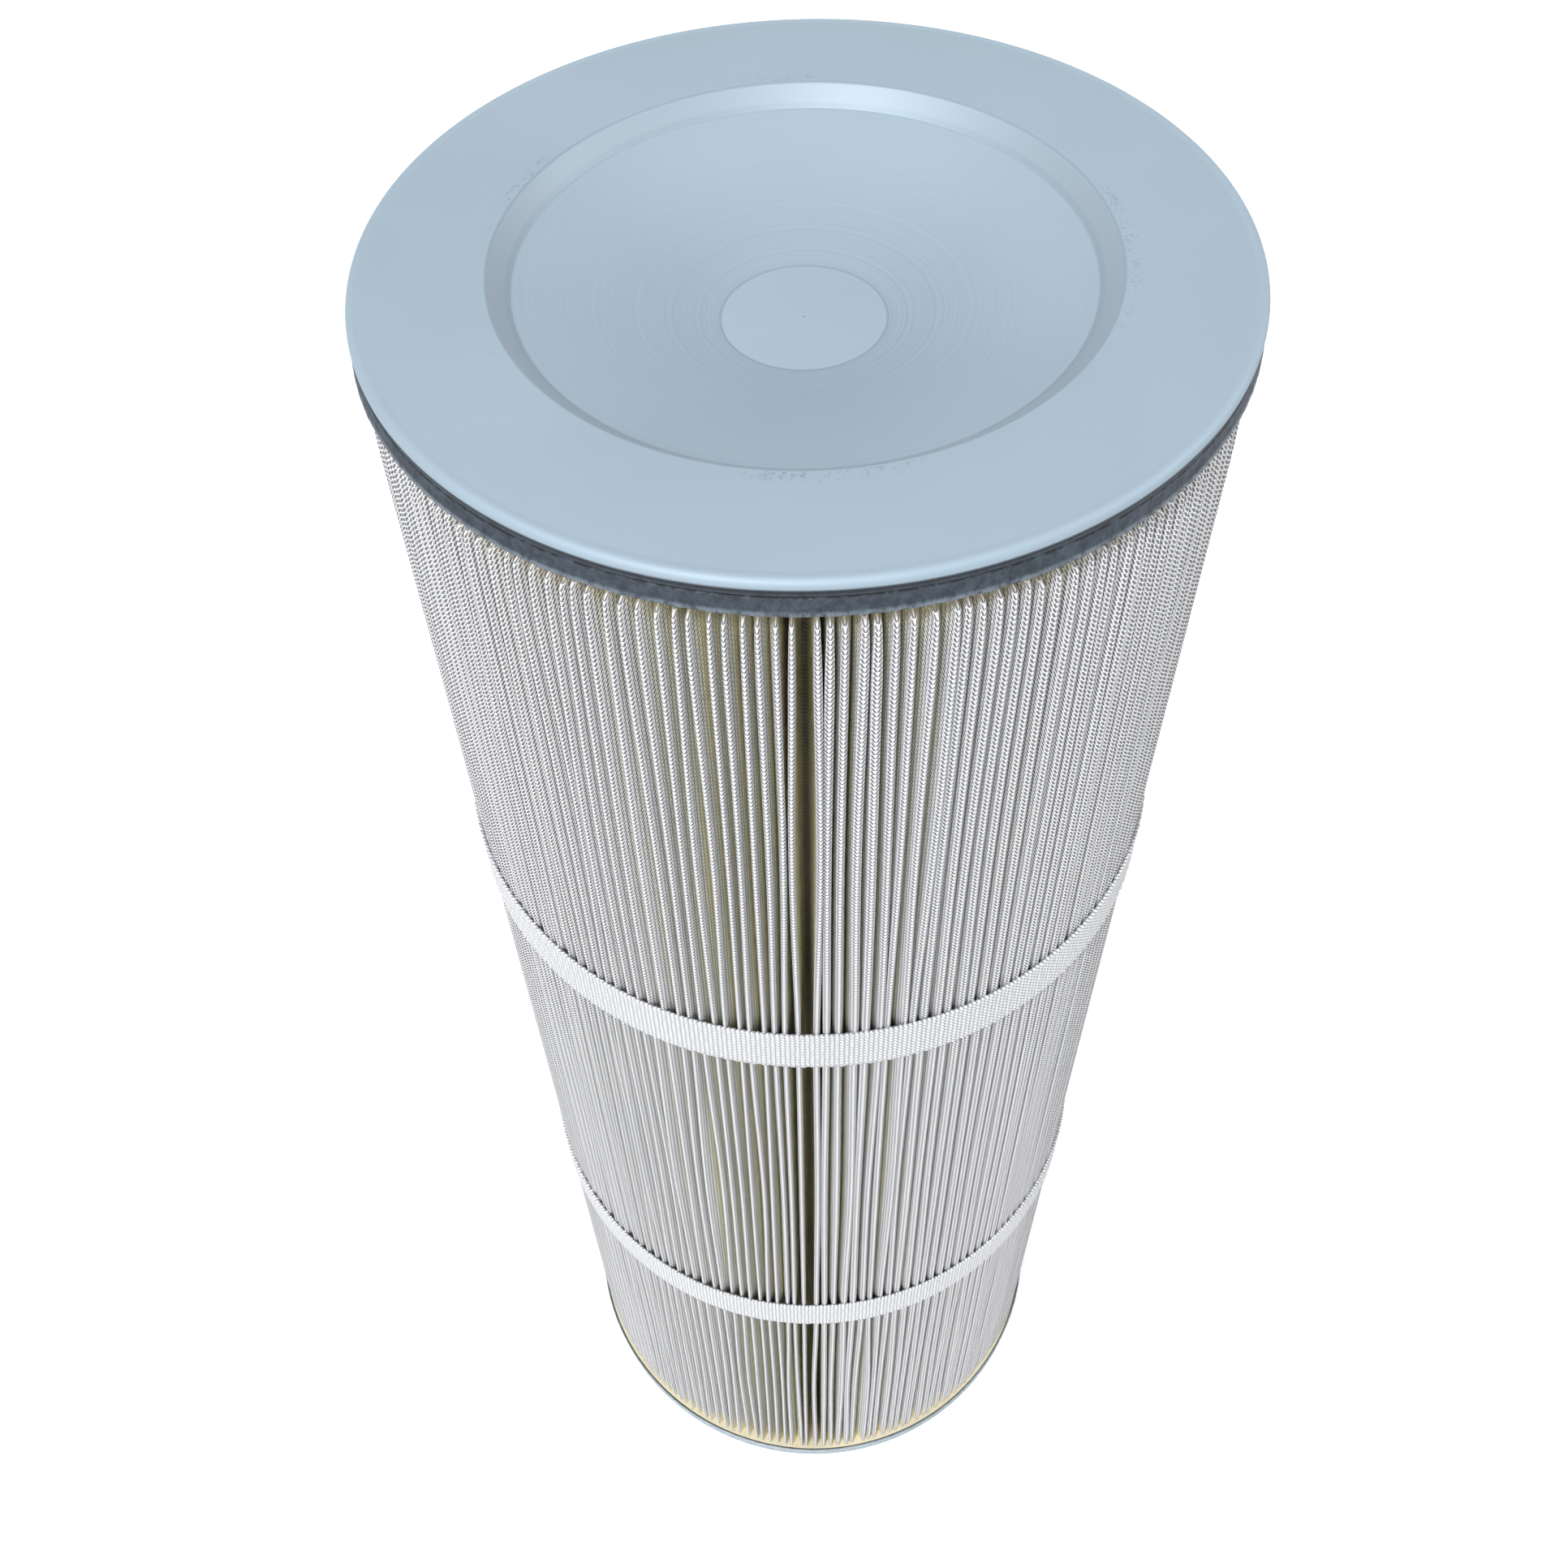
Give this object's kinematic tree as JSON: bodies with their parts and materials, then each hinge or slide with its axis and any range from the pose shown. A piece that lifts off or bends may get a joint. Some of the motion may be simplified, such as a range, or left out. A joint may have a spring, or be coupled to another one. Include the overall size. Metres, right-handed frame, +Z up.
{
  "type": "pleated filter cartridge",
  "caption": "Tall pleated dust-collector filter cartridge: dished steel cap above, open steel pan with gasket below, fabric pleats round a mesh core, held by two woven straps.",
  "frame": {"origin": "middle of the gasket's lower face, at the open end that the cartridge stands on", "axes": "+Z up along the cartridge's axis towards the closed cap; the front faces -Y; the pleat seam and strap splices are at +Y"},
  "size_m": [0.3254, 0.327, 0.912],
  "materials": {
    "galvanised_steel": "zinc-coated sheet, pale blue-grey, satin, with faint concentric spinning marks",
    "core_steel": "galvanised expanded metal, dull",
    "filter_fabric": "white spun-bonded polyester with a fine staggered emboss, matt",
    "strap_webbing": "white ribbed polyester webbing with looped edges, slight sheen",
    "potting_resin": "cast cream polyurethane resin, matt",
    "gasket_rubber": "closed-cell sponge rubber, matt black"
  },
  "bodies": {
    "root": {"closed_end_cap": "galvanised_steel", "closed_end_potting": "potting_resin", "inner_core": "core_steel", "pleated_media": "filter_fabric", "side_seam": "potting_resin", "upper_strap": "strap_webbing", "lower_strap": "strap_webbing", "open_end_potting": "potting_resin", "open_end_pan": "galvanised_steel", "gasket": "gasket_rubber"}
  },
  "joints": []
}
